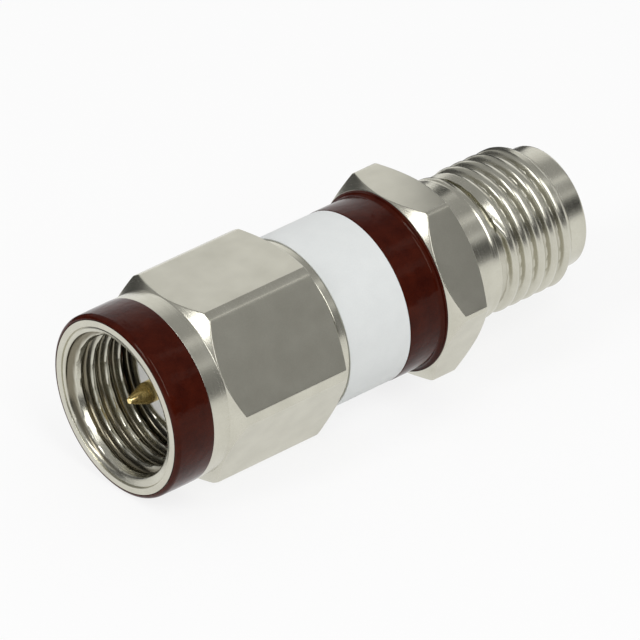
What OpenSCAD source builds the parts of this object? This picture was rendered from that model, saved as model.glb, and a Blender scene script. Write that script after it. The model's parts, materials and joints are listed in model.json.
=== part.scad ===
// Fixed coaxial attenuator: threaded plug with a hex coupling nut at one end, jack at the other.
// Every station below is measured along the axis from the front face of the coupling nut.

/* [Hexagons] */
// Width across the flats of the nut and of the body flange
af = 8; // [7.4:0.1:9]
// Depth that the nut's corners are turned down, on the radius
nut_corner_cut = 0.12; // [0.02:0.01:0.3]
// Depth that the flange's corners are turned down, on the radius
flange_corner_cut = 0.05; // [0.02:0.01:0.3]
// Depth of the round nose below the flats, on the radius
nose_inset = 0.03; // [0.01:0.01:0.2]

/* [Coupling nut] */
// Length of the nut
nut_len = 8.6; // [8:0.1:10]
// Width of the coloured band at the nut's mouth
nut_band_w = 1.87; // [1:0.01:2.4]
// Length of the bare collar between the band and the hexagon
collar_len = 0.85; // [0.4:0.05:1.4]
// Length of the chamfer in front of the hexagon
nut_front_chamfer = 0.42; // [0.2:0.02:0.8]
// Length of the chamfer behind the hexagon
nut_rear_chamfer = 0.26; // [0.1:0.02:0.6]
// Radius of the rounded front edge
edge_r = 0.22; // [0.12:0.01:0.35]
// Width of the bare flat rim at the mouth
rim_w = 0.28; // [0.1:0.01:0.4]
// Depth of the lead-in behind the rim
lead_in = 0.3; // [0.1:0.05:0.5]
// Length of the threaded stretch behind the lead-in
nut_thread_len = 3.2; // [2.4:0.1:3.6]
// Axial play of the nut on the plug
nut_float = 0.35; // [0.1:0.05:0.5]
// Gap between the nut's rear face and the barrel
nut_gap = 0.15; // [0.05:0.05:0.4]

/* [Thread] */
// Outside diameter of the jack's thread
thread_d = 6.3; // [6:0.05:6.6]
// Distance from one thread crest to the next
pitch = 0.7056; // [0.6:0.0001:0.8]
// Depth of the jack's thread, on the radius
thread_h = 0.33; // [0.25:0.01:0.4]
// Width of the flat on the jack's thread crests
crest_w = 0.25; // [0.1:0.01:0.3]
// Width of the flat in the jack's thread roots
root_w = 0.12; // [0.06:0.01:0.2]
// Clearance between the nut's thread and a jack's, on the radius
thread_room = 0.04; // [0.02:0.01:0.08]
// Depth of the relief behind the nut's thread, on the radius
relief_h = 0.15; // [0.05:0.01:0.25]

/* [Body] */
// Depth of the barrel below the flats, on the radius
barrel_inset = 0.3; // [0.15:0.01:0.4]
// Wall of the barrel
barrel_wall = 0.95; // [0.6:0.05:1.1]
// Length of the barrel in front of the flange
barrel_len = 5.4; // [5:0.1:7]
// Thickness of the hex flange
flange_t = 1.95; // [1.5:0.05:2.5]
// Length of the chamfer in front of the flange's hexagon
flange_chamfer = 0.45; // [0.2:0.05:0.8]
// Length of the chamfer behind the flange's hexagon
flange_rear_chamfer = 0.35; // [0.1:0.01:0.6]
// Depth that the inner cavity reaches into the flange
cavity_reach = 1.05; // [0.6:0.05:1.3]
// Length of the plain neck behind the flange
neck_len = 1.75; // [0.8:0.05:2.2]
// Depth of the neck below the thread's crests, on the radius
neck_cut = 0.06; // [0.02:0.01:0.2]
// Length of the jack's thread
thread_len = 4; // [3.2:0.05:6]
// Width of the groove between the neck and the thread, where the thread starts
thread_gap = 0.12; // [0.05:0.01:0.4]
// Length of the chamfer that ends the thread
thread_end = 0.35; // [0.1:0.05:0.5]
// Depth of the plain nose below the thread's roots, on the radius
nose_cut = 0.14; // [0.05:0.01:0.2]
// Length of the plain nose
nose_len = 1.0; // [0.6:0.05:1.5]
// Radius of the nose's rounded end
nose_edge_r = 0.18; // [0.05:0.01:0.3]
// Depth of the socket in the nose
socket_depth = 1.9; // [1.6:0.05:2.2]
// Diameter of the socket in the nose
socket_d = 4.6; // [4.4:0.02:4.8]
// Length of the chamfer at the socket's mouth
mouth_chamfer = 0.1; // [0.02:0.01:0.2]

/* [Coloured band and label] */
// Thickness of the two coloured bands
coat_t = 0.07; // [0.03:0.01:0.15]
// Radius of the fillet where the body's band meets the flange
coat_fillet = 0.18; // [0.05:0.01:0.4]
// Bare strip between the barrel's front and the label
label_inset = 0.4; // [0.1:0.05:0.8]
// Width of the label
label_w = 3.18; // [2:0.02:4]
// Thickness of the label
label_t = 0.06; // [0.03:0.01:0.1]
// Gap between the label's two ends
label_seam = 0.25; // [0.05:0.05:0.6]

/* [Coaxial line] */
// Diameter of the dielectric
line_d = 4.1; // [3.8:0.05:4.3]
// Diameter of the centre conductor inside the dielectric
conductor_d = 1.27; // [1.15:0.01:1.4]
// Diameter of the plug's pin
pin_d = 0.92; // [0.8:0.01:1]
// Length of pin that stands out of the plug's dielectric
pin_out = 2.05; // [1.6:0.05:2.4]
// Length of the pin's tapered tip
tip_len = 0.85; // [0.4:0.05:1.1]
// Diameter of the pin's blunt end
tip_d = 0.24; // [0.1:0.02:0.5]
// Bore of the jack's spring contact
contact_bore_d = 0.94; // [0.86:0.01:1.0]
// Depth of the bore in the spring contact
contact_depth = 3.0; // [2.4:0.1:3.4]
// Width of the slots between the contact's fingers
slot_w = 0.15; // [0.06:0.01:0.18]
// Length of the slots between the contact's fingers
slot_len = 2.4; // [1.6:0.1:2.8]
// Diameter of the collar that holds each conductor between its beads
collar_d = 1.9; // [1.6:0.05:2.4]
// Thickness of that collar
collar_t = 0.4; // [0.2:0.05:0.6]
// Depth of the step that holds each front bead, on the radius
seat_step = 0.25; // [0.15:0.01:0.3]
// Thickness of the front bead's flange
bead_flange_t = 0.8; // [0.65:0.05:1]
// Thickness of the plug's rear bead
plug_bead_t = 0.8; // [0.5:0.05:1]
// Thickness of the jack's rear bead
jack_bead_t = 1.0; // [0.6:0.05:1.2]
// Bore of the two bushes behind the beads
bush_bore_d = 2.6; // [2.2:0.05:3]
// Depth of the conductors below the dielectric's face in the jack
contact_recess = 0.05; // [0.02:0.01:0.1]

/* [Plug] */
// Depth of the plug's contact plane inside the nut
ref_depth = 2.75; // [2.5:0.05:3.2]
// Length of the plug's contact sleeve
sleeve_len = 2.35; // [2:0.05:2.6]
// Wall of the plug's contact sleeve
sleeve_wall = 0.245; // [0.18:0.005:0.3]
// Diameter of the plug's neck, on which the nut turns
plug_neck_d = 6.0; // [5.8:0.05:6.2]
// Distance from the sleeve's shoulder to the snap ring
ring_setback = 1.5; // [1.2:0.05:1.8]
// Width of the snap ring
ring_w = 0.5; // [0.3:0.05:0.7]
// Radial thickness of the snap ring
ring_t = 0.7; // [0.55:0.05:0.8]
// Gap between the snap ring's ends
ring_split = 0.8; // [0.3:0.1:2]
// Depth of the snap ring's groove in the plug, on the radius
groove_h = 0.5; // [0.4:0.05:0.6]
// Distance from that groove to the step that holds the bead
seat_setback = 0.35; // [0.2:0.05:0.5]
// Length of the spigot inside the barrel
spigot_len = 1.3; // [1:0.05:1.6]
// Thickness of the gasket
gasket_t = 0.6; // [0.3:0.05:0.8]
// Outside diameter of the gasket
gasket_d = 5.8; // [5.4:0.05:5.9]

/* [Attenuator card] */
// Length of the two carrier halves
carrier_len = 3.9; // [3.6:0.1:4.2]
// Width of the channel inside the carrier
channel_w = 1.9; // [1.6:0.05:2.4]
// Height of the channel above and below the axis
channel_h = 1.1; // [0.8:0.05:1.6]
// Length of the card
card_l = 3.2; // [2.4:0.1:3.4]
// Width of the card
card_w = 3.2; // [2.6:0.1:3.6]
// Thickness of the card
card_t = 0.38; // [0.2:0.02:0.5]
// Width of the contact ribbons
ribbon_w = 0.6; // [0.3:0.05:0.9]
// Thickness of the contact ribbons
ribbon_t = 0.06; // [0.03:0.01:0.1]
// Length of ribbon that lies on the card
ribbon_on_card = 0.5; // [0.3:0.05:0.8]
// Length of ribbon that lies on the conductor's flat tail
ribbon_on_tail = 0.5; // [0.3:0.05:0.6]

/* [Clearances] */
// Clearance between seated pieces, on the radius and along the axis
seat = 0.01; // [0.005:0.005:0.02]
// Running clearance of the nut on the plug's neck, on the radius
nut_run = 0.06; // [0.03:0.01:0.1]
// Play of the snap ring in its grooves
ring_play = 0.05; // [0.03:0.01:0.1]
// Space around the snap ring, on the radius
ring_room = 0.1; // [0.05:0.01:0.15]
// Clearance of the gasket on the sleeve, on the radius
gasket_room = 0.03; // [0.01:0.01:0.1]
// Gap between each conductor's tail and the card
tail_gap = 0.05; // [0.02:0.01:0.15]

/* [Hidden] */
$fn = 96;
cut = 1;                 // how far a cutting shape runs past the surface it cuts
fillet_steps = 8;        // straight pieces in a rounded edge
turn_steps = 30;         // straight pieces in one turn of a thread
runout_steps = 8;        // pieces of a turn over which a thread rises to its full height, and falls
sunk = 0.2;              // how far a threaded stretch runs into the pieces at its ends
jack_thread_turn = 90;   // where the jack's thread starts, as an angle round the axis
nut_thread_turn = -17;   // where the nut's thread starts

// Outer stations along the axis
x_barrel = nut_len + nut_gap;
x_flange = x_barrel + barrel_len;
x_neck = x_flange + flange_t;
x_thread = x_neck + neck_len;
x_nose = x_thread + thread_len;
x_end = x_nose + nose_len;
x_hex = nut_band_w + collar_len;
x_label = x_barrel + label_inset;
x_coat = x_label + label_w + seat;

// Inner stations of the plug
x_shoulder = ref_depth + sleeve_len;
x_tip = ref_depth - pin_out;
x_ring = x_shoulder + ring_setback;
x_groove_front = x_ring - nut_float - ring_play;
x_groove_rear = x_ring + ring_w + ring_play;
x_plug_seat = x_groove_rear + seat_setback;
x_plug_bead = x_plug_seat + bead_flange_t;
x_plug_bush = x_plug_bead + plug_bead_t;
x_spigot = x_barrel + spigot_len;

// Inner stations of the carrier and the jack
x_carrier = x_spigot + seat;
x_card = x_carrier + (carrier_len - card_l) / 2;
x_jack_bush = x_carrier + carrier_len + seat;
x_cavity_end = x_flange + cavity_reach;
x_jack_bead = x_cavity_end + jack_bead_t;
x_jack_seat = x_jack_bead + bead_flange_t;
x_socket = x_end - socket_depth;
x_plug_tail = x_card - tail_gap;
x_jack_tail = x_card + card_l + tail_gap;

// Radii
hex_corner_r = af / 2 / cos(30);
nut_corner_r = hex_corner_r - nut_corner_cut;
flange_corner_r = hex_corner_r - flange_corner_cut;
nose_r = af / 2 - nose_inset;
nose_core_r = nose_r - coat_t;
rim_r = nose_r - edge_r;
mouth_r = rim_r - rim_w;
root_r = thread_d / 2 - thread_h;
jack_nose_r = root_r - nose_cut;
flank_w = (pitch - crest_w - root_w) / 2;
ridge_w = crest_w + 2 * flank_w;
relief_r = thread_d / 2 + relief_h;
plug_neck_r = plug_neck_d / 2;
nut_bore_r = plug_neck_r + nut_run;
groove_r = plug_neck_r - groove_h;
ring_in_r = groove_r + ring_room;
ring_out_r = ring_in_r + ring_t;
ring_recess_r = ring_out_r + ring_room;
line_r = line_d / 2;
seat_r = line_r + seat_step;
sleeve_r = line_r + sleeve_wall;
barrel_r = af / 2 - barrel_inset;
cavity_r = barrel_r - barrel_wall;
conductor_r = conductor_d / 2;
tail_flat = card_t / 2;

// Points of an arc from angle a0 to a1 about the centre (cr, cx)
function arc(cr, cx, r, a0, a1) =
    [for (i = [0:fillet_steps]) let (a = a0 + (a1 - a0) * i / fillet_steps) [cr + r * cos(a), cx + r * sin(a)]];

// The model's axis lies along X at half the hexagon's height, so that two flats rest on the ground
module place() {
    translate([-x_end / 2, 0, af / 2]) rotate([0, 90, 0]) children();
}

// A revolved solid from its outline of [radius, station] points
module turned(outline) {
    rotate_extrude() polygon(outline);
}

// A plain turned ring or disc
module ring(r_out, r_in, x0, x1) {
    turned([[r_in, x0], [r_out, x0], [r_out, x1], [r_in, x1]]);
}

// A point of a thread at a step along its turns
function on_turn(r, step, x) =
    [r * cos(360 * step / turn_steps), r * sin(360 * step / turn_steps), x];

// Points of a threaded rod: a ring at each end, then the ridge's four edges at each step. The ridge rises
// over its first steps, falls over its last ones and stays under the chamfer at the far end
function rod_points(x0, x1, x_ridge, r_root, r_crest, steps) = concat(
    [for (x = [x0, x1], j = [0:turn_steps - 1]) on_turn(r_root, j, x)],
    [for (k = [0:steps])
        let (
            x = x_ridge + pitch * k / turn_steps,
            rise = min(1, (k + 1) / runout_steps, (steps - k + 1) / runout_steps),
            fall = [for (d = [flank_w, flank_w + crest_w]) min(1, (x1 - x - d) / thread_end)])
        each [
            on_turn(r_root, k, x),
            on_turn(r_root + (r_crest - r_root) * min(rise, fall[0]), k, x + flank_w),
            on_turn(r_root + (r_crest - r_root) * min(rise, fall[1]), k, x + flank_w + crest_w),
            on_turn(r_root, k, x + ridge_w)]]);

// A rod with one right-handed ridge that starts at x_ridge and winds to the far end
module threaded_rod(x0, x1, x_ridge, r_root, r_crest) {
    n = turn_steps;
    steps = floor((x1 - x_ridge - ridge_w - sunk / 4) / pitch * n);
    function start(j) = j % n;
    function end(j) = n + j % n;
    function ridge(k, edge) = 2 * n + 4 * k + edge;
    function halves(q) = [[q[0], q[1], q[2]], [q[0], q[2], q[3]]];
    function fan(tip, row) = [for (i = [0:len(row) - 2]) [tip, row[i], row[i + 1]]];
    polyhedron(
        rod_points(x0, x1, x_ridge, r_root, r_crest, steps),
        concat(
            [[for (j = [0:n - 1]) start(j)], [for (j = [n - 1:-1:0]) end(j)]],
            [[for (edge = [0, 3, 2, 1]) ridge(0, edge)], [for (edge = [3, 0, 1, 2]) ridge(steps, edge)]],
            [for (k = [0:steps - 1], edge = [0:2])
                each halves([ridge(k, edge), ridge(k, edge + 1), ridge(k + 1, edge + 1), ridge(k + 1, edge)])],
            [for (k = [0:steps - n - 1])
                each halves([ridge(k, 3), ridge(k + n, 0), ridge(k + n + 1, 0), ridge(k + 1, 3)])],
            [for (j = [0:n - 2]) each halves([start(j), ridge(j, 0), ridge(j + 1, 0), start(j + 1)])],
            fan(start(n - 1), [ridge(n - 1, 0), ridge(n, 0), ridge(0, 3), ridge(0, 0), start(0)]),
            [for (k = [steps - n + 1:steps - 1])
                each halves([ridge(k, 3), end(k), end(k + 1), ridge(k + 1, 3)])],
            fan(end(steps - n + 1), [
                ridge(steps - n + 1, 3), ridge(steps - n, 3), ridge(steps, 0), ridge(steps, 3), end(steps)])));
}

// A hexagonal stretch with a flat facing down, its corners turned to corner_r and chamfered at both ends
module hexagon(x0, x1, corner_r, face_r, front, rear) {
    intersection() {
        translate([0, 0, x0]) rotate([0, 0, 30]) cylinder(r = hex_corner_r, h = x1 - x0, $fn = 6);
        turned([
            [0, x0], [face_r, x0], [corner_r, x0 + front],
            [corner_r, x1 - rear], [face_r, x1], [0, x1]]);
    }
}

// The hexagonal coupling nut, with its lead-in, thread, relief, snap ring recess and rear bore
module coupling_nut() {
    x_relief = lead_in + nut_thread_len;
    color("silver") place() difference() {
        union() {
            hexagon(x_hex, nut_len, nut_corner_r, nose_r, nut_front_chamfer, nut_rear_chamfer);
            turned(concat(
                [[0, 0], [rim_r, 0], [rim_r, coat_t]],
                arc(rim_r, edge_r, edge_r - coat_t, -90, 0),
                [[nose_core_r, nut_band_w], [nose_r, nut_band_w], [nose_r, x_hex + cut], [0, x_hex + cut]]));
        }
        turned([[0, -cut], [mouth_r, -cut], [mouth_r, 0], [thread_d / 2, lead_in], [0, lead_in]]);
        rotate([0, 0, nut_thread_turn])
            threaded_rod(
                lead_in - sunk, x_relief + pitch + sunk, lead_in + sunk / 4,
                root_r + thread_room, thread_d / 2 + thread_room);
        turned([
            [0, x_relief], [relief_r, x_relief], [relief_r, x_shoulder], [nut_bore_r, x_shoulder],
            [nut_bore_r, x_ring - ring_play], [ring_recess_r, x_ring - ring_play], [ring_recess_r, x_groove_rear],
            [nut_bore_r, x_groove_rear], [nut_bore_r, nut_len + cut], [0, nut_len + cut]]);
    }
}

// The coloured band around the nut's mouth, rounded over the front edge
module nut_colour_band() {
    color("saddlebrown") place() turned(concat(
        arc(rim_r + seat, edge_r, edge_r - seat, -90, 0),
        [[nose_r, nut_band_w - seat], [nose_core_r + seat, nut_band_w - seat]],
        arc(rim_r + seat, edge_r, edge_r - coat_t, 0, -90)));
}

// The split ring that holds the nut on the plug
module snap_ring() {
    color("goldenrod") place() difference() {
        ring(ring_out_r, ring_in_r, x_ring, x_ring + ring_w);
        translate([0, -ring_split / 2, x_ring - cut]) cube([ring_out_r + cut, ring_split, ring_w + 2 * cut]);
    }
}

// The soft sealing ring at the foot of the contact sleeve
module gasket() {
    color("indianred") place()
        ring(gasket_d / 2, sleeve_r + gasket_room, x_shoulder - gasket_t, x_shoulder);
}

// The plug's outer conductor: contact sleeve, neck with the snap ring groove, and the spigot
module plug_shell() {
    color("lightgray") place() difference() {
        turned([
            [0, ref_depth], [sleeve_r, ref_depth], [sleeve_r, x_shoulder],
            [plug_neck_r, x_shoulder], [plug_neck_r, x_groove_front],
            [groove_r, x_groove_front], [groove_r, x_groove_rear],
            [plug_neck_r, x_groove_rear], [plug_neck_r, x_barrel],
            [cavity_r - seat, x_barrel], [cavity_r - seat, x_spigot], [0, x_spigot]]);
        turned([
            [0, ref_depth - cut], [line_r, ref_depth - cut], [line_r, x_plug_seat],
            [seat_r, x_plug_seat], [seat_r, x_spigot + cut], [0, x_spigot + cut]]);
    }
}

// A centre conductor's shaft between two stations, with the collar that its beads trap
module conductor(x0, x1, x_collar) {
    ring(conductor_r, 0, x0, x1);
    ring(collar_d / 2, 0, x_collar, x_collar + collar_t);
}

// The space above a conductor's flat tail, between two stations
module tail_cut(x0, x1) {
    translate([-conductor_d, -conductor_d, x0]) cube([conductor_d - tail_flat, 2 * conductor_d, x1 - x0]);
}

// The plug's pin, with its tapered tip, its collar and the flat tail that takes the ribbon
module plug_pin() {
    color("gold") place() difference() {
        union() {
            turned([
                [0, x_tip], [tip_d / 2, x_tip], [pin_d / 2, x_tip + tip_len],
                [pin_d / 2, ref_depth + cut], [0, ref_depth + cut]]);
            conductor(ref_depth + contact_recess, x_plug_tail, x_plug_bead - collar_t);
        }
        tail_cut(x_plug_tail - ribbon_on_tail - seat, x_plug_tail + cut);
    }
}

// A front bead: dielectric with a rear flange, and a recess there for the conductor's collar
module front_bead(x_face, x_step, x_collar, x_rear) {
    low = min(x_face, x_step);
    difference() {
        union() {
            ring(line_r - seat, conductor_r + seat, low, max(x_face, x_step));
            ring(seat_r - seat, conductor_r + seat, min(x_step, x_rear), max(x_step, x_rear));
        }
        ring(collar_d / 2 + seat, 0, min(x_collar, x_rear), max(x_collar, x_rear));
    }
}

// The plug's dielectric
module plug_insulator() {
    color("white") place()
        front_bead(ref_depth + contact_recess, x_plug_seat + seat, x_plug_bead - collar_t - seat, x_plug_bead);
}

// The bead that closes the plug's dielectric behind the pin's collar
module plug_rear_bead() {
    color("white") place() ring(seat_r - seat, conductor_r + seat, x_plug_bead + seat, x_plug_bush);
}

// The bush pressed into the plug behind its beads
module plug_bush() {
    color("peru") place() ring(seat_r - seat, bush_bore_d / 2, x_plug_bush + seat, x_spigot);
}

// The turned body: barrel, hex flange, plain neck, thread and nose, bored through
module body_shell() {
    color("silver") place() difference() {
        union() {
            ring(barrel_r, 0, x_barrel, x_flange + cut);
            hexagon(x_flange, x_neck, flange_corner_r, nose_r, flange_chamfer, flange_rear_chamfer);
            ring(thread_d / 2 - neck_cut, 0, x_neck - cut, x_thread);
            rotate([0, 0, jack_thread_turn])
                threaded_rod(x_thread - sunk, x_nose, x_thread + thread_gap, root_r, thread_d / 2);
            turned(concat(
                [[0, x_nose - sunk], [jack_nose_r, x_nose - sunk]],
                arc(jack_nose_r - nose_edge_r, x_end - nose_edge_r, nose_edge_r, 0, 90),
                [[0, x_end]]));
        }
        turned([
            [0, x_barrel - cut], [cavity_r, x_barrel - cut], [cavity_r, x_cavity_end],
            [seat_r, x_cavity_end], [seat_r, x_jack_seat], [line_r, x_jack_seat],
            [line_r, x_socket], [socket_d / 2, x_socket], [socket_d / 2, x_end - mouth_chamfer],
            [socket_d / 2 + mouth_chamfer, x_end], [socket_d / 2 + mouth_chamfer, x_end + cut],
            [0, x_end + cut]]);
    }
}

// The coloured band around the barrel, with a fillet up the front face of the flange
module body_colour_band() {
    coat_r = barrel_r + coat_t;
    fillet = min(coat_fillet, nose_r - coat_r - seat);
    x_face = x_flange - seat;
    color("saddlebrown") place() turned(concat(
        [[barrel_r + seat, x_coat], [coat_r, x_coat]],
        arc(coat_r + fillet, x_face - coat_t - fillet, fillet, 180, 90),
        [[nose_r, x_face - coat_t], [nose_r, x_face], [barrel_r + seat, x_face]]));
}

// The wrapped label, with its two ends just apart on the underside
module label_wrap() {
    color("whitesmoke") place() difference() {
        ring(barrel_r + label_t, barrel_r + seat, x_label, x_label + label_w);
        translate([0, -label_seam / 2, x_label - cut])
            cube([af, label_seam, label_w + 2 * cut]);
    }
}

// The upper half of the carrier: channel through it, and a ledge on each side that clamps the card
module carrier_half() {
    difference() {
        ring(cavity_r - seat, 0, x_carrier, x_carrier + carrier_len);
        translate([-seat / 2, -af, x_carrier - cut]) cube([af, 2 * af, carrier_len + 2 * cut]);
        translate([-channel_h, -channel_w / 2, x_carrier - cut])
            cube([channel_h + cut, channel_w, carrier_len + 2 * cut]);
        translate([-card_t / 2, -card_w / 2 - seat, x_card - seat])
            cube([card_t / 2 + cut, card_w + 2 * seat, card_l + 2 * seat]);
    }
}

// The carrier's upper half
module carrier_upper() {
    color("tan") place() carrier_half();
}

// The carrier's lower half
module carrier_lower() {
    color("tan") place() mirror([1, 0, 0]) carrier_half();
}

// The ceramic card that carries the resistive film
module attenuator_card() {
    color("ivory") place()
        translate([-card_t / 2, -card_w / 2, x_card]) cube([card_t, card_w, card_l]);
}

// A flat ribbon lying on a conductor's tail and on the card
module ribbon(x0, x1) {
    translate([-card_t / 2 - ribbon_t, -ribbon_w / 2, x0]) cube([ribbon_t, ribbon_w, x1 - x0]);
}

// The ribbon from the plug's pin to the card
module input_ribbon() {
    color("gold") place() ribbon(x_plug_tail - ribbon_on_tail, x_card + ribbon_on_card);
}

// The ribbon from the card to the jack's contact
module output_ribbon() {
    color("gold") place() ribbon(x_card + card_l - ribbon_on_card, x_jack_tail + ribbon_on_tail);
}

// The bush pressed into the body in front of the jack's beads
module jack_bush() {
    color("peru") place() ring(cavity_r - seat, bush_bore_d / 2, x_jack_bush, x_cavity_end - seat);
}

// The bead that closes the jack's dielectric in front of the contact's collar
module jack_rear_bead() {
    color("white") place() ring(seat_r - seat, conductor_r + seat, x_cavity_end, x_jack_bead - seat);
}

// The jack's dielectric
module jack_insulator() {
    color("white") place()
        front_bead(x_socket - contact_recess, x_jack_seat - seat, x_jack_bead + collar_t + seat, x_jack_bead);
}

// The jack's spring contact: a bored end split into four fingers, a collar and a flat tail
module jack_contact() {
    x_face = x_socket - contact_recess;
    color("gold") place() difference() {
        conductor(x_jack_tail, x_face, x_jack_bead);
        translate([0, 0, x_face - contact_depth]) cylinder(d = contact_bore_d, h = contact_depth + cut);
        for (turn = [45, 135])
            rotate([0, 0, turn]) translate([-conductor_d, -slot_w / 2, x_face - slot_len])
                cube([2 * conductor_d, slot_w, slot_len + cut]);
        tail_cut(x_jack_tail - cut, x_jack_tail + ribbon_on_tail + seat);
    }
}

coupling_nut();
nut_colour_band();
snap_ring();
gasket();
plug_shell();
plug_pin();
plug_insulator();
plug_rear_bead();
plug_bush();
body_shell();
body_colour_band();
label_wrap();
carrier_upper();
carrier_lower();
attenuator_card();
input_ribbon();
output_ribbon();
jack_bush();
jack_rear_bead();
jack_insulator();
jack_contact();
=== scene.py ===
import json
import math
import bpy
import numpy as np
from mathutils import Matrix, Vector


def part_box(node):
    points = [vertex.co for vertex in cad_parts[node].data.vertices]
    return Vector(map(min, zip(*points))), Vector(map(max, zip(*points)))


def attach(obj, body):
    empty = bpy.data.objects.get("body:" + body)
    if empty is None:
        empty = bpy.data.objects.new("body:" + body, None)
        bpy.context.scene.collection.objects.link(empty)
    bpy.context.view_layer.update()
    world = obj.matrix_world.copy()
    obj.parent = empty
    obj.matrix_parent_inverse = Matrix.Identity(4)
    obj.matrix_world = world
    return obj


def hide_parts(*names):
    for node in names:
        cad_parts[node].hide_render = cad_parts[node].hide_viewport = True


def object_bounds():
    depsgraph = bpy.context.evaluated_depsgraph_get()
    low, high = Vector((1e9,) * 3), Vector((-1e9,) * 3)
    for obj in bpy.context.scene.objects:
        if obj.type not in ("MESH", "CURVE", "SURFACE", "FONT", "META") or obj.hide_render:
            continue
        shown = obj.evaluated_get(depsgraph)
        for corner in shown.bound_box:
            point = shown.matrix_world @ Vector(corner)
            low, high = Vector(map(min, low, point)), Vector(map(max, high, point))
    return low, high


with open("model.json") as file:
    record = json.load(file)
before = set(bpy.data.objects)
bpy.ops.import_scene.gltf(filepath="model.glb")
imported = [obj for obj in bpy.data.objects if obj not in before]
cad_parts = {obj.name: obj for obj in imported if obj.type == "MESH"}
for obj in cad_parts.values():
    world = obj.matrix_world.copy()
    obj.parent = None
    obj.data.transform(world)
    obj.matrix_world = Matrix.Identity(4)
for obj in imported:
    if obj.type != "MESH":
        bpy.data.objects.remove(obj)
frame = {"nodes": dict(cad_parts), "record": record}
cadBox = [list(corner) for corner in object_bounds()]
print("frame loaded")

# Shapes are worked out in millimetres: s along the axis from the nut's mouth, r from the axis, and
# the angle a from straight up. mm turns them into the frame's metres.
mm = 0.001
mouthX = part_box("coupling_nut")[0].x
axisZ = (cadBox[0][2] + cadBox[1][2]) / 2


# first and last station of a CAD node along the axis
def span(node):
    low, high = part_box(node)
    return (low.x - mouthX) / mm, (high.x - mouthX) / mm


# outer radius of a CAD node, from its width
def outerRadius(node):
    low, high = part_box(node)
    return (high.y - low.y) / 2 / mm


# the six sided bar that the nut and the flange are cut from
bar = dict(
    flat=(cadBox[1][2] - cadBox[0][2]) / 2 / mm,    # distance from the axis to a flat
    noseInset=0.03,                                 # turned nose below the flats
    edgeSoftness=0.012,                             # rounding where a flat meets a turned corner
    cornerBlend=0.03,                               # height over which a dull flat turns bright
    flatTolerance=0.004,                            # distance that still counts as on a flat
)

# the thread of both ends: a ridge with a bevelled crest and sloping flanks
thread = dict(
    pitch=0.7056, majorRadius=3.15, depth=0.33,
    crest=0.3, crestFlat=0.06, bevel=0.15,          # crest, its flat middle, and the fall of its bevels
    root=0.12, room=0.04, landDrop=1.3,             # root, play of the nut's thread, fall of a wide turn
    flankEase=0.5, stepsPerTurn=30, runout=8,       # cubic share of a flank, and steps of the run-out
)

# rounded corners of an outline: steps of a curve, and how far it and its support lines reach along a side
rounding = dict(steps=4, farthest=0.4, support=1.9, farthestSupport=0.48, least=1e-9)

# edges that turn by more than this stay sharp in shading
sharpTurn = math.radians(38)


# angles of one turn: each 60 degree sector has a flat of perFlat steps and a turned corner of perCorner
# steps, with close pairs of lines on both sides of the edge between them
def hexAngles(cornerRadius, perFlat=22, perCorner=4, pair=0.35, support=1.1):
    edge = math.degrees(math.acos(bar["flat"] / cornerRadius))
    flatLines = np.linspace(-(edge - support), edge - support, perFlat)
    edgeLines = np.array([edge - pair, edge, edge + pair])
    cornerLines = np.linspace(edge + pair, 60 - edge - pair, perCorner + 2)[1:-1]
    sector = np.concatenate([flatLines, edgeLines, cornerLines, 60 - edgeLines[::-1]])
    turns = np.arange(6)[:, None] * 60
    return np.radians((turns + sector[None, :]).ravel())


# angle from the middle of the nearest flat, by the remainder of a sixth of a turn
def flatOffset(angle):
    return (angle + math.pi / 6) % (math.pi / 3) - math.pi / 6


# radius of the six sided bar: the flat's distance over the cosine of the angle from its middle, taken
# with the turned corner's radius by a soft minimum, half of the sum less the root of the squared gap
def hexRadius(angle, cornerRadius):
    straight = bar["flat"] / np.cos(flatOffset(angle))
    gap = straight - cornerRadius
    return (straight + cornerRadius - np.sqrt(gap ** 2 + bar["edgeSoftness"] ** 2)) / 2


# height of a right-handed ridge, from 0 at its root to 1 on its crest. The nearest turn follows from the
# station in pitches plus the angle in turns, both from the ridge's start; the distance to its middle gives
# the flank, eased with a cubic, and a bevel on both sides of the crest. The ridge rises from its start and
# falls to its end, and widen spreads its first turn forwards, sloping down, and its last one backwards
def threadForm(s, angle, start, startAngle, turns=None, widen=None):
    part = (angle - startAngle) / (2 * math.pi) % 1.0 - 1.0
    phase = (s - start) / thread["pitch"] + part
    near = np.round(phase)
    wound = near - part
    gap = (phase - near) * thread["pitch"]
    drop = 0.0
    if widen is not None:
        first, last = widen(wound)
        drop = thread["landDrop"] * np.clip(-gap, 0, first)
        gap = np.where(gap < 0, np.minimum(0, gap + first), np.maximum(0, gap - last))
    flank = (thread["pitch"] - thread["crest"] - thread["root"]) / 2
    slope = np.clip((thread["crest"] / 2 + flank - np.abs(gap)) / flank, 0, 1)
    eased = slope * slope * (3 - 2 * slope)
    level = slope * (1 - thread["flankEase"]) + eased * thread["flankEase"]
    beside = (np.abs(gap) - thread["crestFlat"] / 2) / (thread["crest"] - thread["crestFlat"]) * 2
    level = level - (thread["bevel"] * np.clip(beside, 0, 1) + drop) * level
    if turns is not None:
        steepness = thread["stepsPerTurn"] / thread["runout"]
        rise = np.clip(np.minimum(wound, turns - wound) * steepness + 1 / thread["runout"], 0, 1)
        level = level * rise * (near >= 0)
    return level


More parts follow.
